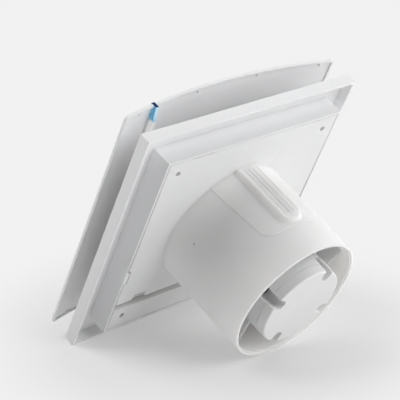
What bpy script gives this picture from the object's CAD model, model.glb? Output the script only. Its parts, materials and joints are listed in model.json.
"""Looks of a bathroom extractor fan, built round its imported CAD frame."""

import json
import math
import random

import bmesh
import bpy
from mathutils import Matrix, Vector


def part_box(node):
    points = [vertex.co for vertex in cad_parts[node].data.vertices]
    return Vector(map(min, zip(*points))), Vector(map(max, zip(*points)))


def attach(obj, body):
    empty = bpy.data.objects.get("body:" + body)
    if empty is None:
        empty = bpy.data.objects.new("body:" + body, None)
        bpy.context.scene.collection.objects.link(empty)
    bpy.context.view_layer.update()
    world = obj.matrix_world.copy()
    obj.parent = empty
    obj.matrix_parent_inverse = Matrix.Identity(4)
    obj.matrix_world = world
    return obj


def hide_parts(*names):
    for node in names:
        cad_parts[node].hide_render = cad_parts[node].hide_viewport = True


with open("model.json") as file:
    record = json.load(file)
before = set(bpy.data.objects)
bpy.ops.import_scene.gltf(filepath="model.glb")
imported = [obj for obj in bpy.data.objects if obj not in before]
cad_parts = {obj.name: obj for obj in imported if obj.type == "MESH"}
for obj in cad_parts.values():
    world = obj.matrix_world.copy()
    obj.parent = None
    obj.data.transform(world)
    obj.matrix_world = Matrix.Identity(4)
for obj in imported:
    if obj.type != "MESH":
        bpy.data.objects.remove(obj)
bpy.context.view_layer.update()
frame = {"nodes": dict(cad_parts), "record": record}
MM = 0.001
RANDOM = random.Random(7)

# ---------------------------------------------------------------- sizes shared by several pieces

SPIGOT_R = 47.6 * MM
SPIGOT_WALL = 2.1 * MM
SPIGOT_RIM_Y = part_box("duct_housing")[1].y
SKIRT_RIM_Y = -8.5 * MM  # back edge of the frame's skirt
FRAME_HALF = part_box("front_frame")[1].x
GUIDE_BLADE_Z = 79.5 * MM  # where the light guide's stem becomes its blade
CHANNEL_PHASE = 25  # angle of the first screw channel in the motor's cap, in degrees
FIXED_BODY = "housing"  # every detail piece rides on this body
FORWARDS = Vector((0, -1, 0))
REARWARDS = Vector((0, 1, 0))

# The fan rests on the frame's lower back edge and on the spigot's rim
FLOOR_RUN = SPIGOT_RIM_Y - SKIRT_RIM_Y
FLOOR_DROP = FRAME_HALF - SPIGOT_R
FLOOR_TILT = math.atan2(FLOOR_DROP, FLOOR_RUN)
FLOOR_UP = Vector((0, -math.sin(FLOOR_TILT), math.cos(FLOOR_TILT)))
FLOOR_POINT = Vector((0, SKIRT_RIM_Y, -FRAME_HALF))

# Camera, as in the photograph: places in metres, lens and sensor in millimetres
CAMERA_PLACE = Vector((0.6860, 0.4718, 0.6819))
CAMERA_AIM = Vector((0.00707, -0.01823, 0.00611))
CAMERA_ROLL = math.radians(-0.277)
CAMERA_LENS = 147.955
CAMERA_SENSOR = 36.0
CAMERA_REACH = (0.05, 20)  # nearest and farthest distance seen


# ---------------------------------------------------------------- node materials

NOISE_ROUGHNESS = 0.55
WAVE_PERIOD = math.pi / 10  # of a wave texture whose scale is 1
SHADER_RAYS = 4  # rays of each bevel and each occlusion lookup


class Shader:
    """A node material that ends in one Principled shader."""

    def __init__(self, name):
        self.material = bpy.data.materials.new(name)
        self.material.use_nodes = True
        self.tree = self.material.node_tree
        self.tree.nodes.clear()
        self.output = self.add("ShaderNodeOutputMaterial")
        self.surface = self.add("ShaderNodeBsdfPrincipled")
        self.join(self.surface.outputs["BSDF"], self.output.inputs["Surface"])
        self.place = self.add("ShaderNodeTexCoord").outputs["Object"]

    def add(self, kind, **settings):
        node = self.tree.nodes.new(kind)
        for key, value in settings.items():
            setattr(node, key, value)
        return node

    def join(self, source, target):
        self.tree.links.new(source, target)

    def put(self, target, value):
        """Gives an input a value or joins a socket to it."""
        if isinstance(value, bpy.types.NodeSocket):
            self.join(value, target)
        elif isinstance(value, tuple) and len(value) == 3 and target.type == "RGBA":
            target.default_value = (*value, 1)
        else:
            target.default_value = value

    def set(self, **inputs):
        """Sets inputs of the Principled shader; an underscore in a name stands for a space."""
        for key, value in inputs.items():
            self.put(self.surface.inputs[key.replace("_", " ")], value)

    def noise(self, size, detail=3.0, stretch=(1, 1, 1)):
        """Noise from 0 to 1 whose lumps are about size metres across."""
        mapping = self.add("ShaderNodeMapping")
        mapping.inputs["Scale"].default_value = stretch
        self.join(self.place, mapping.inputs["Vector"])
        node = self.add("ShaderNodeTexNoise")
        self.join(mapping.outputs["Vector"], node.inputs["Vector"])
        node.inputs["Scale"].default_value = 1 / size
        node.inputs["Detail"].default_value = detail
        node.inputs["Roughness"].default_value = NOISE_ROUGHNESS
        return node.outputs["Fac"]

    def cells(self, size):
        """Distance to the nearest point of a random set about size metres apart, from 0 to 1."""
        node = self.add("ShaderNodeTexVoronoi")
        self.join(self.place, node.inputs["Vector"])
        node.inputs["Scale"].default_value = 1 / size
        return node.outputs["Distance"]

    def bands(self, size, axis, distortion):
        """Parallel bands, size metres apart along an axis."""
        node = self.add("ShaderNodeTexWave", bands_direction=axis)
        self.join(self.place, node.inputs["Vector"])
        node.inputs["Scale"].default_value = WAVE_PERIOD / size
        node.inputs["Distortion"].default_value = distortion
        return node.outputs["Fac"]

    def spread(self, value, low, high, at=(0.3, 0.7)):
        """Maps the range at of a value to low..high."""
        node = self.add("ShaderNodeMapRange")
        self.join(value, node.inputs["Value"])
        node.inputs["From Min"].default_value = at[0]
        node.inputs["From Max"].default_value = at[1]
        node.inputs["To Min"].default_value = low
        node.inputs["To Max"].default_value = high
        return node.outputs["Result"]

    def split(self, vector):
        """The X, Y and Z sockets of a vector."""
        node = self.add("ShaderNodeSeparateXYZ")
        self.join(vector, node.inputs["Vector"])
        return node.outputs

    def maths(self, operation, a, b):
        """The result of an operation on two values or sockets."""
        node = self.add("ShaderNodeMath", operation=operation)
        self.put(node.inputs[0], a)
        self.put(node.inputs[1], b)
        return node.outputs["Value"]

    def sum(self, a, b):
        return self.maths("ADD", a, b)

    def product(self, a, b):
        return self.maths("MULTIPLY", a, b)

    def mix(self, share, a, b):
        """Colour a with a share of colour b."""
        node = self.add("ShaderNodeMix", data_type="RGBA")
        self.put(node.inputs["Factor"], share)
        self.put(node.inputs["A"], a)
        self.put(node.inputs["B"], b)
        return node.outputs["Result"]

    def edges(self, radius, gain=6.0):
        """A mask of the convex and concave edges, and the bevelled normal it comes from."""
        bevel = self.add("ShaderNodeBevel", samples=SHADER_RAYS)
        bevel.inputs["Radius"].default_value = radius
        geometry = self.add("ShaderNodeNewGeometry")
        dot = self.add("ShaderNodeVectorMath", operation="DOT_PRODUCT")
        self.join(bevel.outputs["Normal"], dot.inputs[0])
        self.join(geometry.outputs["Normal"], dot.inputs[1])
        flatness = self.maths("SUBTRACT", 1.0, dot.outputs["Value"])
        node = self.add("ShaderNodeMath", operation="MULTIPLY", use_clamp=True)
        self.join(flatness, node.inputs[0])
        node.inputs[1].default_value = gain
        return node.outputs["Value"], bevel.outputs["Normal"]

    def hollows(self, reach):
        """A mask of corners and recesses, 1 where little of the sky is seen."""
        node = self.add("ShaderNodeAmbientOcclusion", samples=SHADER_RAYS)
        node.inputs["Distance"].default_value = reach
        return self.spread(node.outputs["AO"], 1.0, 0.0, at=(0.2, 0.9))

    def bump(self, height, depth, normal=None):
        """A normal that stands for a relief of some depth in metres, laid over another normal."""
        node = self.add("ShaderNodeBump")
        self.join(height, node.inputs["Height"])
        node.inputs["Distance"].default_value = depth
        if normal is not None:
            self.join(normal, node.inputs["Normal"])
        return node.outputs["Normal"]


def scaled(colour, gain):
    """A lighter or darker colour."""
    return tuple(min(1.0, c * gain) for c in colour)


def tinted(colour, tint):
    """A colour seen through a tint."""
    return tuple(c * t for c, t in zip(colour, tint))


DUST_TINT = (0.80, 0.79, 0.76)
DUST_SHARE = 0.25
PLASTIC_GLOW = (1, 0.95, 0.9)  # how far red, green and blue light travel in the plastic
PLASTIC_IOR = 1.47
ACRYLIC_IOR = 1.49


def moulded(name, colour, rough, depth=0.25):
    """Moulded plastic: flow mottling, fine grain, rubbed edges and dusty corners.

    A greater depth lets more light through the plastic.
    """
    s = Shader(name)
    flow = s.noise(45 * MM, detail=2, stretch=(1, 1.6, 1))
    specks = s.noise(1.8 * MM, detail=5)
    body = s.mix(s.spread(flow, 0, 1), scaled(colour, 0.975), scaled(colour, 1.01))
    body = s.mix(s.spread(specks, 0, 0.35, at=(0.55, 0.8)), body, scaled(colour, 0.96))
    edge, rounded = s.edges(0.5 * MM)
    wear = s.product(edge, s.spread(s.noise(6 * MM), 0.2, 1.0))
    body = s.mix(s.product(wear, 0.5), body, scaled(colour, 1.05))
    dusty = s.product(s.hollows(5 * MM), DUST_SHARE)
    body = s.mix(dusty, body, tinted(colour, DUST_TINT))
    gloss = s.sum(s.spread(flow, rough - 0.04, rough + 0.05), s.product(wear, -0.12))
    grain = s.bump(s.noise(0.35 * MM, detail=2), 0.006 * MM, rounded)
    relief = s.bump(s.noise(14 * MM, detail=1), 0.012 * MM, grain)
    s.set(Base_Color=body, Roughness=gloss, Normal=relief, IOR=PLASTIC_IOR)
    s.set(Subsurface_Weight=depth, Subsurface_Scale=(2.5 + 1.5 * depth) * MM)
    s.set(Subsurface_Radius=PLASTIC_GLOW)
    return s.material


def rubbery(name, colour, rough=0.75):
    """Soft rubber or cable sheath, with a dull bloom and small pits."""
    s = Shader(name)
    bloom = s.noise(3 * MM, detail=4)
    body = s.mix(s.spread(bloom, 0, 1), colour, scaled(colour, 1.5))
    edge, rounded = s.edges(0.3 * MM)
    body = s.mix(s.product(edge, 0.4), body, scaled(colour, 2.2))
    s.set(Base_Color=body, Roughness=s.spread(bloom, rough - 0.08, rough + 0.08))
    s.set(Normal=s.bump(s.noise(0.25 * MM), 0.01 * MM, rounded))
    return s.material


def plated(name, colour, rough=0.32, stretch=(1, 8, 1)):
    """Plated or ground steel: drawn lines, cloudy lustre, bright edges."""
    s = Shader(name)
    cloud = s.noise(5 * MM, detail=4)
    lines = s.noise(0.6 * MM, detail=2, stretch=stretch)
    body = s.mix(s.spread(cloud, 0, 1), scaled(colour, 0.86), colour)
    yellowed = tinted(colour, (1.0, 0.97, 0.88))
    body = s.mix(s.spread(s.noise(2 * MM), 0, 0.5), body, yellowed)
    edge, rounded = s.edges(0.25 * MM)
    body = s.mix(s.product(edge, 0.6), body, scaled(colour, 1.25))
    s.set(Base_Color=body, Metallic=1.0, Normal=s.bump(lines, 0.004 * MM, rounded))
    s.set(Roughness=s.spread(cloud, rough - 0.08, rough + 0.1))
    return s.material


def laminated(name, colour):
    """A stack of thin steel sheets, seen as lines across the fan axis."""
    s = Shader(name)
    sheets = s.bands(0.5 * MM, "Y", 0.3)
    rust = s.noise(2.5 * MM, detail=5)
    body = s.mix(s.spread(sheets, 0, 1, at=(0.2, 0.9)), scaled(colour, 0.45), colour)
    rust_brown = (0.20, 0.10, 0.05)
    body = s.mix(s.spread(rust, 0, 0.5, at=(0.55, 0.75)), body, rust_brown)
    s.set(Base_Color=body, Metallic=0.85, Roughness=s.spread(rust, 0.38, 0.6))
    s.set(Normal=s.bump(sheets, 0.06 * MM))
    return s.material


def enamelled_wire(name, colour):
    """Copper windings under clear enamel."""
    s = Shader(name)
    cloud = s.noise(3 * MM, detail=3)
    body = s.mix(s.spread(cloud, 0, 1), scaled(colour, 0.7), scaled(colour, 1.1))
    s.set(Base_Color=body, Metallic=0.9, Roughness=s.spread(cloud, 0.2, 0.4))
    s.set(Coat_Weight=0.6, Coat_Roughness=0.15)
    s.set(Normal=s.bump(s.noise(0.3 * MM), 0.01 * MM))
    return s.material


def clear(name, colour, share, glow):
    """Tinted plastic with faint streaks inside; share of the light passes through it."""
    s = Shader(name)
    streaks = s.noise(2.2 * MM, detail=3, stretch=(1, 1, 0.25))
    body = s.mix(s.spread(streaks, 0, 1), scaled(colour, 0.7), scaled(colour, 1.25))
    edge, rounded = s.edges(0.35 * MM)
    pale_edge = (0.80, 0.92, 1.0)
    body = s.mix(s.product(edge, 0.7), body, pale_edge)
    s.set(Base_Color=body, Roughness=s.spread(streaks, 0.08, 0.18), IOR=ACRYLIC_IOR)
    s.set(Transmission_Weight=share, Emission_Color=colour, Emission_Strength=glow)
    s.set(Normal=s.bump(streaks, 0.02 * MM, rounded))
    return s.material


def light_pipe(name, blade_z, end_z):
    """Clear acrylic light guide: a pale stem up to blade_z, then a teal blade with bright edges
    and a dark end at end_z."""
    s = Shader(name)
    dark_end = (0.003, 0.02, 0.10)
    pass_share = 0.15
    place = s.split(s.place)
    facing = s.split(s.add("ShaderNodeTexCoord").outputs["Normal"])
    streaks = s.noise(1.6 * MM, detail=3, stretch=(1, 1, 0.3))
    teal = s.mix(s.spread(streaks, 0, 1), (0.08, 0.30, 0.50), (0.26, 0.56, 0.76))
    edge, rounded = s.edges(0.9 * MM, gain=5.0)
    side = s.mix(edge, teal, (0.50, 0.80, 0.98))
    rear = s.mix(s.spread(streaks, 0, 1), (0.46, 0.74, 0.94), (0.62, 0.86, 0.99))
    blade = s.mix(s.spread(facing["Y"], 0, 1, at=(0.4, 0.7)), side, rear)
    stem = s.mix(s.spread(streaks, 0, 1), (0.82, 0.83, 0.82), (0.90, 0.90, 0.88))
    body = s.mix(s.spread(place["Z"], 0, 1, at=(blade_z - MM, blade_z + MM)), stem, blade)
    at_end = s.spread(place["Z"], 0, 1, at=(end_z - 0.5 * MM, end_z - 0.2 * MM))
    at_end = s.product(at_end, s.spread(facing["Z"], 0, 1, at=(0.6, 0.8)))
    body = s.mix(at_end, body, dark_end)
    s.set(Base_Color=body, Roughness=s.spread(streaks, 0.1, 0.25), IOR=ACRYLIC_IOR)
    s.set(Transmission_Weight=s.sum(pass_share, s.product(at_end, -pass_share)))
    s.set(Emission_Color=body, Emission_Strength=0.22)
    s.set(Normal=s.bump(streaks, 0.02 * MM, rounded))
    return s.material


def solder_mask(name, colour):
    """Circuit board: green lacquer over copper tracks."""
    s = Shader(name)
    tracks = s.cells(3.2 * MM)
    body = s.mix(s.spread(tracks, 0, 1, at=(0.42, 0.5)), scaled(colour, 1.6), colour)
    cloud = s.noise(4 * MM)
    body = s.mix(s.spread(cloud, 0, 0.4), body, scaled(colour, 0.6))
    s.set(Base_Color=body, Roughness=s.spread(cloud, 0.22, 0.4), Coat_Weight=0.5)
    s.set(Normal=s.bump(tracks, 0.03 * MM))
    return s.material


def make_materials():
    """One material for each of the record's material slots."""
    white = (0.87, 0.872, 0.88)
    warm_white = (0.875, 0.87, 0.862)
    return {
        "panel_white": moulded("panel_white", white, rough=0.33),
        "frame_white": moulded("frame_white", white, rough=0.36),
        "housing_white": moulded("housing_white", warm_white, rough=0.46, depth=1.0),
        "cap_white": moulded("cap_white", (0.83, 0.83, 0.83), rough=0.38),
        "impeller_white": moulded("impeller_white", (0.74, 0.74, 0.73), rough=0.4),
        "flap_white": moulded("flap_white", (0.78, 0.78, 0.77), rough=0.4),
        "terminal_white": moulded("terminal_white", (0.70, 0.68, 0.61), rough=0.5),
        "grommet_grey": rubbery("grommet_grey", (0.50, 0.50, 0.48), rough=0.7),
        "rubber": rubbery("rubber", (0.02, 0.02, 0.02)),
        "cable_black": rubbery("cable_black", (0.03, 0.03, 0.033), rough=0.5),
        "blue_clear": light_pipe("blue_clear", GUIDE_BLADE_Z, FRAME_HALF),
        "lamp_blue": clear("lamp_blue", (0.20, 0.40, 0.92), share=0.6, glow=0.05),
        "zinc_steel": plated("zinc_steel", (0.62, 0.63, 0.66)),
        "bearing_steel": plated("bearing_steel", (0.60, 0.60, 0.62), rough=0.18),
        "stator_steel": laminated("stator_steel", (0.30, 0.30, 0.32)),
        "aluminium": plated("aluminium", (0.72, 0.73, 0.75), rough=0.42, stretch=(1, 1, 1)),
        "copper": enamelled_wire("copper", (0.72, 0.28, 0.10)),
        "board_green": solder_mask("board_green", (0.015, 0.12, 0.045)),
        "capacitor_amber": moulded("capacitor_amber", (0.58, 0.38, 0.06), rough=0.3),
    }


MATERIALS = make_materials()


# ---------------------------------------------------------------- finish of the CAD nodes


def smoothing(limit):
    """A node group that smooths shading across edges flatter than limit."""
    group = bpy.data.node_groups.new("smooth_by_angle", "GeometryNodeTree")
    group.interface.new_socket("Geometry", in_out="INPUT", socket_type="NodeSocketGeometry")
    group.interface.new_socket("Geometry", in_out="OUTPUT", socket_type="NodeSocketGeometry")
    start = group.nodes.new("NodeGroupInput")
    end = group.nodes.new("NodeGroupOutput")
    angle = group.nodes.new("GeometryNodeInputMeshEdgeAngle")
    compare = group.nodes.new("FunctionNodeCompare")
    compare.operation = "LESS_EQUAL"
    compare.inputs["B"].default_value = limit
    faces = group.nodes.new("GeometryNodeSetShadeSmooth")
    edges = group.nodes.new("GeometryNodeSetShadeSmooth")
    edges.domain = "EDGE"
    links = group.links
    links.new(start.outputs["Geometry"], faces.inputs["Geometry"])
    links.new(faces.outputs["Geometry"], edges.inputs["Geometry"])
    links.new(angle.outputs["Unsigned Angle"], compare.inputs["A"])
    links.new(compare.outputs["Result"], edges.inputs["Shade Smooth"])
    links.new(edges.outputs["Geometry"], end.inputs["Geometry"])
    return group


SMOOTH = smoothing(math.radians(32))
WELD_REACH = 0.002 * MM
FLAT_LIMIT = math.radians(0.2)  # faces that turn less than this are one face
EDGE_LIMIT = math.radians(35)  # edges sharper than this are rounded

# Width of the rounded edges of the moulded pieces
EDGE_ROUNDING = {
    "front_panel": 0.35 * MM,
    "front_frame": 0.30 * MM,
    "motor_cap": 0.30 * MM,
    "shutter_frame": 0.20 * MM,
    "left_flap": 0.20 * MM,
    "right_flap": 0.20 * MM,
    "terminal_cover": 0.20 * MM,
    "terminal_block": 0.25 * MM,
    "capacitor": 0.50 * MM,
    "cable_grommet": 0.25 * MM,
}


def finish_node(name, thing, slot):
    """Welds a CAD node's faces together, rounds its edges and gives it its material."""
    mesh = thing.data
    if "custom_normal" in mesh.attributes:
        mesh.attributes.remove(mesh.attributes["custom_normal"])
    mesh.materials.clear()
    mesh.materials.append(MATERIALS[slot])
    weld = thing.modifiers.new("weld", "WELD")
    weld.merge_threshold = WELD_REACH
    if name in EDGE_ROUNDING:
        flat = thing.modifiers.new("flat_faces", "DECIMATE")
        flat.decimate_type = "DISSOLVE"
        flat.angle_limit = FLAT_LIMIT
        bevel = thing.modifiers.new("rounded_edges", "BEVEL")
        bevel.width = EDGE_ROUNDING[name]
        bevel.segments = 2
        bevel.limit_method = "ANGLE"
        bevel.angle_limit = EDGE_LIMIT
        bevel.miter_outer = "MITER_ARC"
    smooth = thing.modifiers.new("smooth", "NODES")
    smooth.node_group = SMOOTH
    if name in EDGE_ROUNDING:
        weighted = thing.modifiers.new("flat_shading", "WEIGHTED_NORMAL")
        weighted.keep_sharp = True


SLOT_OF = {s["node"]: s["material_slot"] for s in frame["record"]["subparts"]}
for node_name, node_object in frame["nodes"].items():
    finish_node(node_name, node_object, SLOT_OF[node_name])


# ---------------------------------------------------------------- detail pieces

BOTH_ENDS = (-1, 1)  # of a part that lies along an axis
PART_RAISE = 1.5 * MM  # from the board's face to the axis of a resistor or a diode


def add_piece(name, data, slot, material=None):
    """Adds a mesh or a curve to the fixed body, with a record slot's finish or its own."""
    data.materials.append(material or MATERIALS[slot])
    piece = bpy.data.objects.new(name, data)
    bpy.context.scene.collection.objects.link(piece)
    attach(piece, FIXED_BODY)
    return piece


def mesh_piece(name, shape, slot, material=None):
    """Turns a finished bmesh into a piece, smooth across its shallow edges."""
    bmesh.ops.recalc_face_normals(shape, faces=shape.faces)
    mesh = bpy.data.meshes.new(name)
    shape.to_mesh(mesh)
    shape.free()
    piece = add_piece(name, mesh, slot, material)
    piece.modifiers.new("smooth", "NODES").node_group = SMOOTH
    return piece


def add_turned(shape, profile, place, axis, steps=24):
    """Adds a solid of revolution at a place in metres.

    The profile lists radius and height along the axis, in millimetres.
    """
    turn = Vector((0, 0, 1)).rotation_difference(Vector(axis)).to_matrix().to_4x4()
    to_place = Matrix.Translation(place) @ turn
    rings = []
    for radius, height in profile:
        if radius == 0:
            rings.append([shape.verts.new(to_place @ Vector((0, 0, height * MM)))])
            continue
        ring = []
        for i in range(steps):
            angle = 2 * math.pi * i / steps
            point = Vector((radius * math.cos(angle), radius * math.sin(angle), height)) * MM
            ring.append(shape.verts.new(to_place @ point))
        rings.append(ring)
    for low, high in zip(rings, rings[1:]):
        for i in range(steps):
            j = (i + 1) % steps
            corners = [low[i % len(low)], low[j % len(low)],
                       high[j % len(high)], high[i % len(high)]]
            shape.faces.new(list(dict.fromkeys(corners)))


def add_block(shape, low, high, chamfer):
    """Adds a box between two corners, in metres, with rounded edges."""
    low, high = Vector(low), Vector(high)
    made = bmesh.ops.create_cube(shape, size=1)["verts"]
    size = high - low
    for vert in made:
        vert.co = low + Vector(((vert.co[i] + 0.5) * size[i] for i in range(3)))
    edges = list({edge for vert in made for edge in vert.link_edges})
    bmesh.ops.bevel(shape, geom=edges, offset=chamfer, segments=2, profile=0.5, affect="EDGES")


def add_wire(name, points, radius, material=None):
    """A round wire that runs smoothly through points; all sizes are in millimetres."""
    data = bpy.data.curves.new(name, "CURVE")
    data.dimensions = "3D"
    data.bevel_depth = radius * MM
    data.bevel_resolution = 3
    data.use_fill_caps = True
    spline = data.splines.new("BEZIER")
    spline.bezier_points.add(len(points) - 1)
    for knot, point in zip(spline.bezier_points, points):
        knot.co = Vector(point) * MM
        knot.handle_left_type = "AUTO"
        knot.handle_right_type = "AUTO"
    return add_piece(name, data, "cable_black", material)


def outward(degrees):
    """The direction away from the fan's axis, at an angle from +X towards +Z."""
    angle = math.radians(degrees)
    return Vector((math.cos(angle), 0, math.sin(angle)))


def on_axis(radius, depth, degrees):
    """A point at a radius and a depth in millimetres, at an angle from +X towards +Z."""
    angle = math.radians(degrees)
    return Vector((radius * math.cos(angle), depth, radius * math.sin(angle))) * MM


def make_spigot_marks():
    """The moulding gate's pip outside the spigot, and small nibs just inside its rim."""
    pip = [(0.8, -0.3), (0.8, 0.25), (0.65, 0.4), (0.5, 0.4), (0.35, 0.1), (0, 0.05)]
    pip_depth, pip_angle = 18.5, 17
    shape = bmesh.new()
    place = on_axis(SPIGOT_R / MM, pip_depth, pip_angle)
    add_turned(shape, pip, place, outward(pip_angle))
    mesh_piece("spigot_gate_pip", shape, "housing_white", GATE_SCAR)

    nib = [(1.3, -0.3), (1.2, 0.5), (0.8, 0.9), (0, 1.0)]
    nib_depth, nib_angles = 74.1, (51, 12, 339)
    inner = (SPIGOT_R - SPIGOT_WALL) / MM
    shape = bmesh.new()
    for degrees in nib_angles:
        place = on_axis(inner, nib_depth, degrees)
        add_turned(shape, nib, place, -outward(degrees), steps=12)
    mesh_piece("spigot_rim_nibs", shape, "housing_white")


def add_resistors(shape, leads, face, top):
    """A column of resistors along X below the height top, each on two bent leads."""
    body = [(0, -3.1), (0.75, -3.1), (1.15, -2.7), (1.15, -1.9), (0.95, -1.5),
            (0.95, 1.5), (1.15, 1.9), (1.15, 2.7), (0.75, 3.1), (0, 3.1)]
    first_x, drift = -14, 0.2
    first_drop, pitch = 2.4, 3.1
    lead_r, lead_reach = 0.3, 4.6
    upright = [(0, -1.7), (lead_r, -1.7), (lead_r, 0.1), (0, 0.2)]
    level = [(0, -0.1), (lead_r, -0.1), (lead_r, 1.6), (0, 1.6)]
    for i in range(5):
        x = (first_x + i * drift) * MM
        z = top - (first_drop + i * pitch) * MM
        place = Vector((x, face - PART_RAISE, z))
        add_turned(shape, body, place, (1, 0, 0), steps=16)
        for side in BOTH_ENDS:
            foot = place + Vector((side * lead_reach * MM, 0, 0))
            add_turned(leads, upright, foot, FORWARDS, steps=8)
            add_turned(leads, level, foot, (-side, 0, 0), steps=8)


def add_chip(shape, legs, face):
    """A flat chip with four legs above it and four below."""
    body_low = (-5.5 * MM, face - 3.4 * MM, -66.5 * MM)
    body_high = (4.0 * MM, face - 0.3 * MM, -60.1 * MM)
    add_block(shape, body_low, body_high, 0.35 * MM)
    first_x, pitch = -4.3, 2.54
    leg_half, leg_length, leg_chamfer = 0.3 * MM, 0.9 * MM, 0.08 * MM
    for root, step in ((-60.3 * MM, leg_length), (-66.3 * MM, -leg_length)):
        for i in range(4):
            x = (first_x + pitch * i) * MM
            leg_low = (x - leg_half, face - 1.9 * MM, min(root, root + step))
            leg_high = (x + leg_half, face + 0.1 * MM, max(root, root + step))
            add_block(legs, leg_low, leg_high, leg_chamfer)


def add_diodes(shape, leads, face):
    """A row of diodes along Z, each with a lead at both ends."""
    body = [(0, -2.1), (1.1, -2.1), (1.3, -1.9), (1.3, 1.9), (1.1, 2.1), (0, 2.1)]
    lead = [(0, 0), (0.35, 0), (0.35, 0.9), (0, 1.0)]
    first_x, pitch, height, half_length = -6, 4.6, -54.2, 2
    for i in range(4):
        place = Vector(((first_x + i * pitch) * MM, face - PART_RAISE, height * MM))
        add_turned(shape, body, place, (0, 0, 1), steps=16)
        for side in BOTH_ENDS:
            end = place + Vector((0, 0, side * half_length * MM))
            add_turned(leads, lead, end, (0, 0, side), steps=8)


def add_solder_joints(shape, back):
    """Rows of solder cones behind the board, each a little off its place."""
    joint = [(1.0, -0.05), (0.85, 0.12), (0.5, 0.32), (0.3, 0.5), (0, 0.55)]
    first_x, pitch = -39.5, 4.6
    stray_x, stray_z = 0.5, 0.3
    for i in range(11):
        for z in (-59.6, -62.4, -65.2, -67.9):
            jitter = Vector((RANDOM.uniform(-stray_x, stray_x), 0,
                             RANDOM.uniform(-stray_z, stray_z)))
            place = (Vector((first_x + i * pitch, 0, z)) + jitter) * MM + Vector((0, back, 0))
            add_turned(shape, joint, place, REARWARDS, steps=12)


def make_board_parts():
    """The small components on the control board, and the solder joints behind it."""
    low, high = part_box("control_board")
    face, back = low.y, high.y
    leads = bmesh.new()
    shape = bmesh.new()
    add_resistors(shape, leads, face, high.z)
    mesh_piece("board_resistors", shape, "capacitor_amber", RESISTOR_COAT)

    shape = bmesh.new()
    add_chip(shape, leads, face)
    add_diodes(shape, leads, face)
    mesh_piece("board_chip_and_diodes", shape, "rubber")
    mesh_piece("board_leads", leads, "zinc_steel")

    can = [(0, 0), (2.9, 0), (3.1, 0.3), (3.1, 0.8), (2.9, 1.0), (3.1, 1.2), (3.1, 4.6),
           (2.8, 4.9), (2.4, 4.9), (2.3, 4.75), (0, 4.75)]
    can_places, can_height = (-42.5, 8.4), -63.4
    shape = bmesh.new()
    for x in can_places:
        add_turned(shape, can, Vector((x * MM, face, can_height * MM)), FORWARDS, steps=32)
    mesh_piece("board_electrolytics", shape, "aluminium")

    shape = bmesh.new()
    add_solder_joints(shape, back)
    mesh_piece("board_solder_joints", shape, "zinc_steel")


def make_terminal_wires():
    """Three wires from the terminal block to the control board, one above the other."""
    block_low, block_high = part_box("terminal_block")
    top = block_high.z / MM
    middle = (block_low.x + block_high.x) / 2 / MM
    pole_pitch, wire_r = 8, 0.8
    for i, material in enumerate((WIRE_BROWN, WIRE_BLUE, None)):
        start = middle + (i - 1) * pole_pitch
        rise = top + 2.4 + 1.8 * i
        level = -52.2 - 1.9 * i
        route = [(start, -6.0, top - 2.5), (start, -6.3, top + 1.2), (start - 3, -8.6, rise),
                 (18, -9.6, rise + 0.4), (11, -9.4, level), (9.4, -8.6, level),
                 (9.0, -7.6, level)]
        add_wire(f"terminal_wire_{i + 1}", route, wire_r, material)


def make_lamp_wires():
    """Two wires from the pilot lamp down the housing's wall and across to the board."""
    lamp_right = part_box("lamp_board")[1].x / MM
    wire_gap, wire_r = 1.5, 0.55
    for i in range(2):
        shift = wire_gap * i
        wall = lamp_right - shift
        route = [(wall - 3, -11.0, 41.5), (wall - 2.5, -11.4, 38.6), (wall - 0.6, -10.4, 34),
                 (wall - 0.1, -9.0, 20), (wall - 0.6, -8.2, -10), (wall - 2.2, -8.4, -24),
                 (wall - 1.2, -8.6, -34),
                 (lamp_right - 6, -9.6 - shift / 2, -46.2 + shift),
                 (50, -9.4, -48.2 + shift), (36, -8.6, -50.2 + shift),
                 (24, -9.6, -50.2 + shift), (12, -9.8, -51.0 + shift / 2),
                 (6.5 - shift, -8.8, -51.6), (5.8 - shift, -7.6, -51.8)]
        add_wire(f"lamp_wire_{i + 1}", route, wire_r, LAMP_WIRE)


def rounded_loop(half_w, half_l, corner, steps=3):
    """Points round a rectangle with rounded corners."""
    points = []
    for k, (sx, sy) in enumerate(((1, 1), (-1, 1), (-1, -1), (1, -1))):
        for i in range(steps + 1):
            angle = math.pi / 2 * (k + i / steps)
            points.append((sx * (half_w - corner) + corner * math.cos(angle),
                           sy * (half_l - corner) + corner * math.sin(angle)))
    return points


def make_windings():
    """Wound copper coils in place of the plain blocks on the stator's poles."""
    poles, turns, layers = 4, 6, 6
    first_r, turn_pitch = 11.95, 0.44
    first_half_w, layer_pitch = 3.35, 0.46
    first_overhang, overhang_step = 0.3, 0.19
    low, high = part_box("stator_core")
    stack = high.y - low.y
    middle = (high.y + low.y) / 2
    data = bpy.data.curves.new("stator_windings", "CURVE")
    data.dimensions = "3D"
    data.bevel_depth = 0.21 * MM
    data.bevel_resolution = 1
    for pole in range(poles):
        degrees = CHANNEL_PHASE + 45 + pole * 360 / poles
        along, across = outward(degrees), outward(degrees + 90)
        for turn in range(turns):
            radius = (first_r + turn * turn_pitch) * MM
            for layer in range(layers):
                half_w = (first_half_w + layer * layer_pitch) * MM
                half_l = stack / 2 + (first_overhang + overhang_step * layer) * MM
                points = rounded_loop(half_w, half_l, (0.25 + 0.15 * layer) * MM)
                loop = data.splines.new("POLY")
                loop.use_cyclic_u = True
                loop.points.add(len(points) - 1)
                for knot, (w, y) in zip(loop.points, points):
                    co = along * radius + across * w + Vector((0, middle + y, 0))
                    knot.co = (*co, 1)
    piece = add_piece("stator_windings", data, "copper")
    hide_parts("stator_coils")


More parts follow.
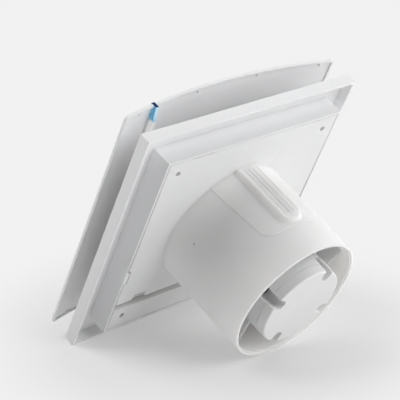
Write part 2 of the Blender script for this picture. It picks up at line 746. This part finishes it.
RESISTOR_COAT = moulded("resistor_coat", (0.62, 0.50, 0.34), rough=0.35)
GATE_SCAR = moulded("gate_scar", (0.62, 0.61, 0.59), rough=0.6)
WIRE_BROWN = rubbery("wire_brown", (0.14, 0.055, 0.02), rough=0.5)
WIRE_BLUE = rubbery("wire_blue", (0.02, 0.10, 0.36), rough=0.5)
LAMP_WIRE = rubbery("lamp_wire", (0.55, 0.55, 0.52), rough=0.5)
make_spigot_marks()
make_board_parts()
make_terminal_wires()
make_lamp_wires()
make_windings()


# ---------------------------------------------------------------- stage

FLOOR_RADIUS = 4
BACKDROP = (0.885, 0.885, 0.885)
SKY = (0, 0, 0)

# Name, width in metres, power in watts, and the place in metres from the frame's origin: to the
# camera's right, up, and towards the camera
LIGHTS = (
    ("top_left", 1.3, 13.5, (-0.9, 1.1, 0.35)),
    ("front_right", 0.8, 7.5, (0.9, 0.5, 0.9)),
    ("right", 1.3, 6.5, (1.3, 0.5, -0.3)),
    ("behind_top", 1.3, 7.5, (0, 1.0, -1.0)),
    ("low_right", 1.3, 5.5, (1.3, 0.15, 0.1)),
    ("behind_right", 1.3, 3, (0.9, 1.0, -0.6)),
)


def camera_axes():
    """The camera's right, up and back directions, in the row frame."""
    back = (CAMERA_PLACE - CAMERA_AIM).normalized()
    right = FLOOR_UP.cross(back).normalized()
    up = back.cross(right)
    turn = Matrix.Rotation(CAMERA_ROLL, 3, back)
    return turn @ right, turn @ up, back


def make_camera():
    """The camera at the photograph's place, made the scene's own."""
    right, up, back = camera_axes()
    data = bpy.data.cameras.new("camera")
    data.lens = CAMERA_LENS
    data.sensor_width = CAMERA_SENSOR
    data.clip_start, data.clip_end = CAMERA_REACH
    camera = bpy.data.objects.new("camera", data)
    turn = Matrix((right, up, back)).transposed()
    camera.matrix_world = Matrix.Translation(CAMERA_PLACE) @ turn.to_4x4()
    bpy.context.scene.collection.objects.link(camera)
    bpy.context.scene.camera = camera


def floor_material():
    """Pale card that fades into an even backdrop, and can be seen through from below.

    The backdrop's share grows from near_share, at the distance near from the middle, to 1 at far.
    """
    s = Shader("floor_card")
    near, far = 0.07, 0.19
    near_share = 0.31
    card, card_light = (0.80, 0.80, 0.80), (0.815, 0.815, 0.815)
    length = s.add("ShaderNodeVectorMath", operation="LENGTH")
    s.join(s.place, length.inputs[0])
    share = s.add("ShaderNodeMapRange", interpolation_type="SMOOTHSTEP")
    s.join(length.outputs["Value"], share.inputs["Value"])
    share.inputs["From Min"].default_value = near
    share.inputs["From Max"].default_value = far
    share.inputs["To Min"].default_value = near_share
    tooth = s.noise(2 * MM, detail=4)
    s.set(Base_Color=s.mix(s.spread(tooth, 0, 1), card, card_light))
    s.set(Roughness=0.9, Specular_IOR_Level=0.1, Normal=s.bump(tooth, 0.005 * MM))
    glow = s.add("ShaderNodeEmission")
    glow.inputs["Color"].default_value = (*BACKDROP, 1)
    fade = s.add("ShaderNodeMixShader")
    s.join(share.outputs["Result"], fade.inputs["Fac"])
    s.join(s.surface.outputs["BSDF"], fade.inputs[1])
    s.join(glow.outputs["Emission"], fade.inputs[2])
    see_through = s.add("ShaderNodeBsdfTransparent")
    side = s.add("ShaderNodeMixShader")
    s.join(s.add("ShaderNodeNewGeometry").outputs["Backfacing"], side.inputs["Fac"])
    s.join(fade.outputs["Shader"], side.inputs[1])
    s.join(see_through.outputs["BSDF"], side.inputs[2])
    s.join(side.outputs["Shader"], s.output.inputs["Surface"])
    return s.material


def make_floor():
    """A round card that the frame's lower back edge and the spigot's rim stand on."""
    mesh = bpy.data.meshes.new("floor")
    shape = bmesh.new()
    bmesh.ops.create_circle(shape, cap_ends=True, segments=96, radius=FLOOR_RADIUS)
    shape.to_mesh(mesh)
    shape.free()
    mesh.materials.append(floor_material())
    floor = bpy.data.objects.new("floor", mesh)
    middle = FLOOR_POINT + Vector((0, FLOOR_RUN / 2, FLOOR_DROP / 2))
    floor.matrix_world = Matrix.Translation(middle) @ Matrix.Rotation(FLOOR_TILT, 4, "X")
    bpy.context.scene.collection.objects.link(floor)


def make_light(name, size, power, away):
    """A round soft box that looks at the fan; away is its place along the camera's own axes."""
    place = sum((axis * metres for axis, metres in zip(camera_axes(), away)), Vector())
    data = bpy.data.lights.new(name, "AREA")
    data.shape = "DISK"
    data.size = size
    data.energy = power
    light = bpy.data.objects.new(name, data)
    light.location = place
    light.rotation_mode = "QUATERNION"
    light.rotation_quaternion = place.to_track_quat("Z", "Y")
    bpy.context.scene.collection.objects.link(light)


def make_world():
    """An unlit sky; the camera sees the backdrop's shade in its place."""
    world = bpy.data.worlds.new("studio")
    world.use_nodes = True
    tree = world.node_tree
    tree.nodes.clear()
    output = tree.nodes.new("ShaderNodeOutputWorld")
    light = tree.nodes.new("ShaderNodeBackground")
    light.inputs["Color"].default_value = (*SKY, 1)
    seen = tree.nodes.new("ShaderNodeBackground")
    seen.inputs["Color"].default_value = (*BACKDROP, 1)
    mix = tree.nodes.new("ShaderNodeMixShader")
    path = tree.nodes.new("ShaderNodeLightPath")
    tree.links.new(path.outputs["Is Camera Ray"], mix.inputs["Fac"])
    tree.links.new(light.outputs["Background"], mix.inputs[1])
    tree.links.new(seen.outputs["Background"], mix.inputs[2])
    tree.links.new(mix.outputs["Shader"], output.inputs["Surface"])
    bpy.context.scene.world = world


make_camera()
make_floor()
make_world()
for light_name, light_size, light_power, light_place in LIGHTS:
    make_light(light_name, light_size, light_power, light_place)
bpy.context.scene.view_settings.view_transform = "Standard"
